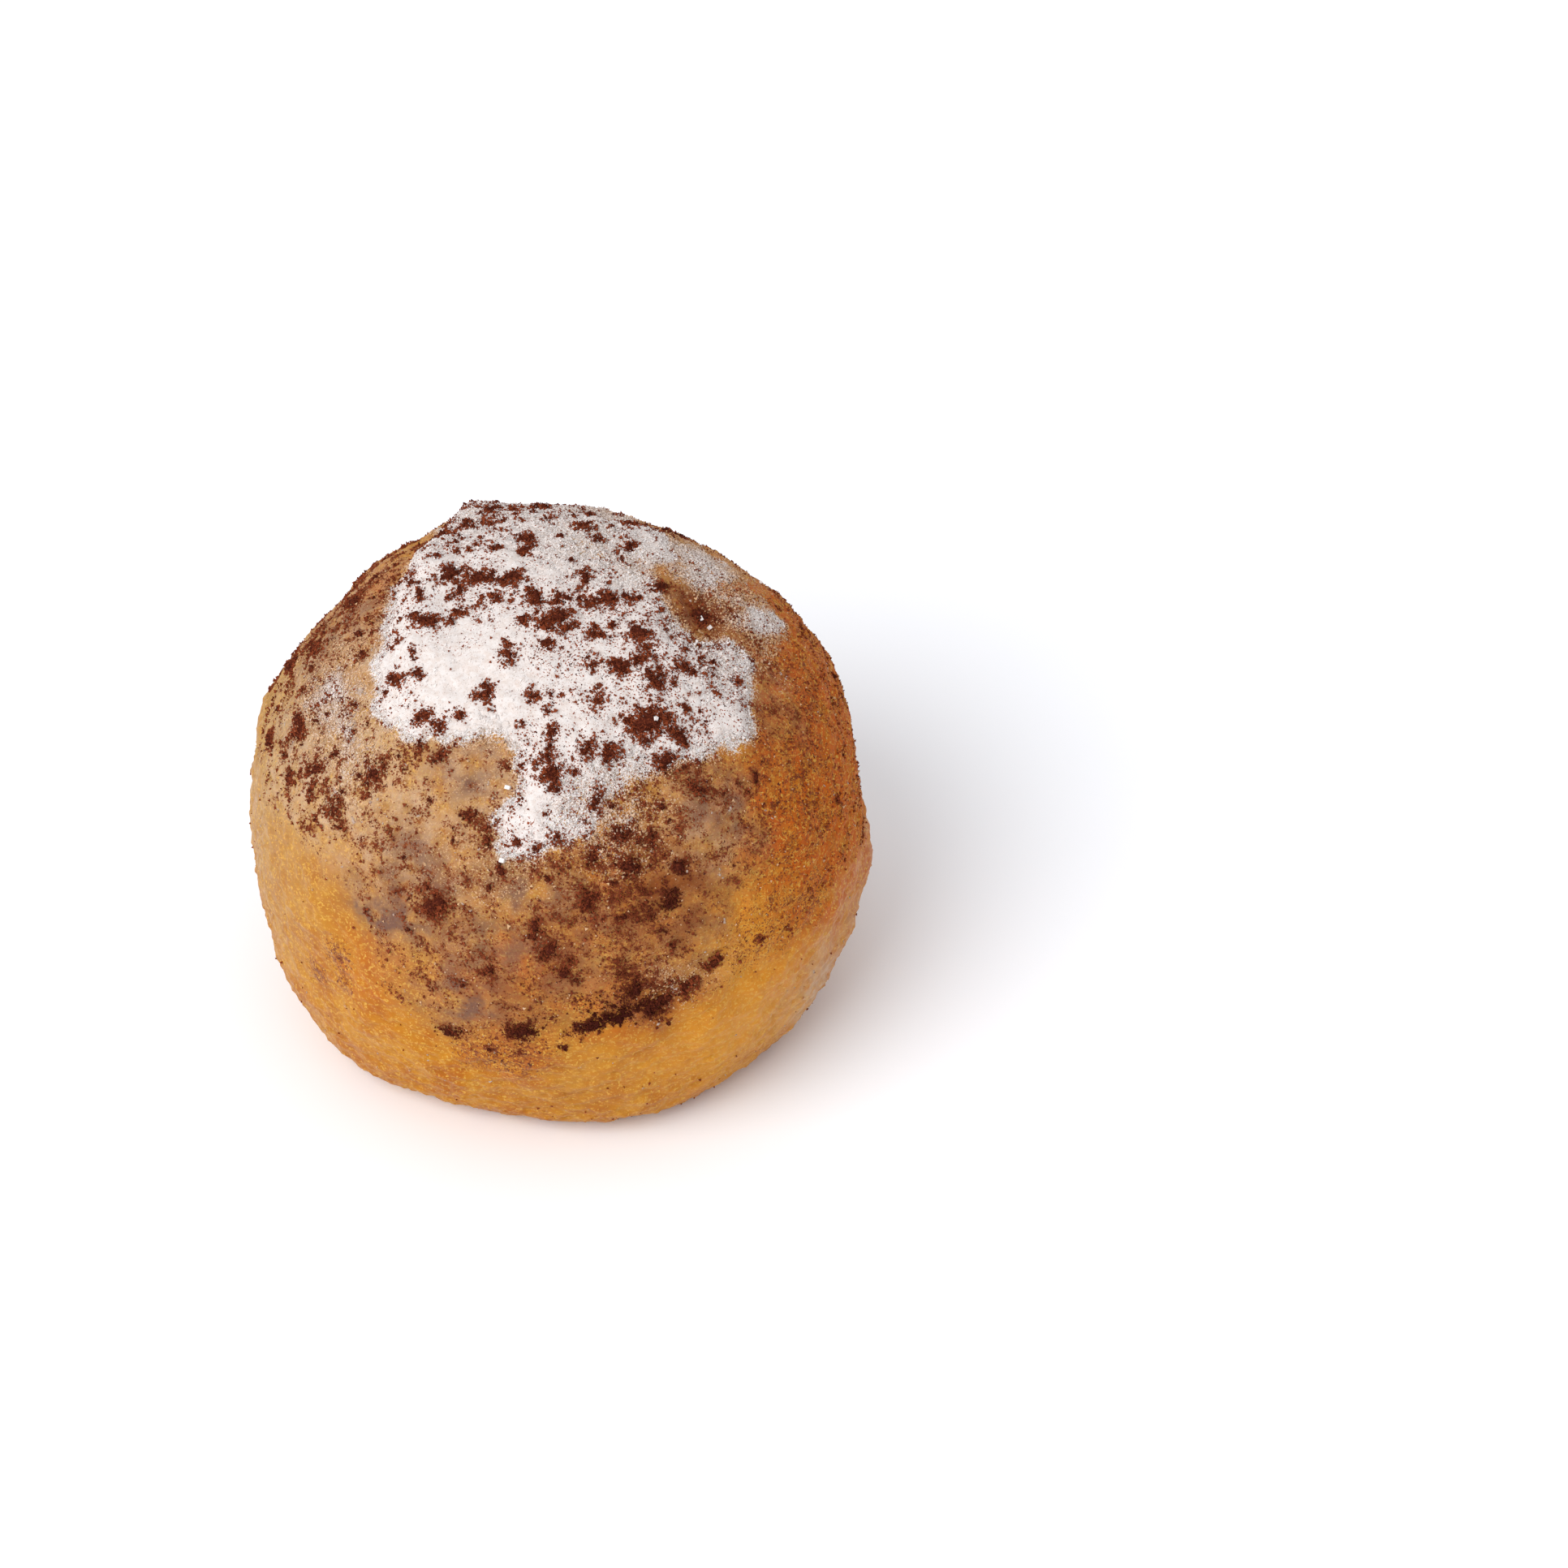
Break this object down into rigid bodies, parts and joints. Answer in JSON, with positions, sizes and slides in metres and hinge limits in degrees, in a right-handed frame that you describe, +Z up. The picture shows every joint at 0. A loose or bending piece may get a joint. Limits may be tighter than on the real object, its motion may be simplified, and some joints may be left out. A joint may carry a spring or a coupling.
{
  "type": "bunuelo",
  "caption": "Whole filled bunuelo, a round ball of fried dough on a flat foot, dusted with icing sugar and cocoa; dessert food.",
  "frame": {"origin": "middle of the flat foot, under the middle of the ball's bounding box", "axes": "+Z up through the crown; -Y is the front, the side with the sugar's long tongue; +X is to the right seen from the front"},
  "size_m": [0.045, 0.045, 0.0358],
  "materials": {
    "dough": "satin",
    "icing_sugar": "powdery",
    "cocoa": "powdery"
  },
  "bodies": {
    "root": {"bunuelo": "dough"}
  },
  "joints": []
}
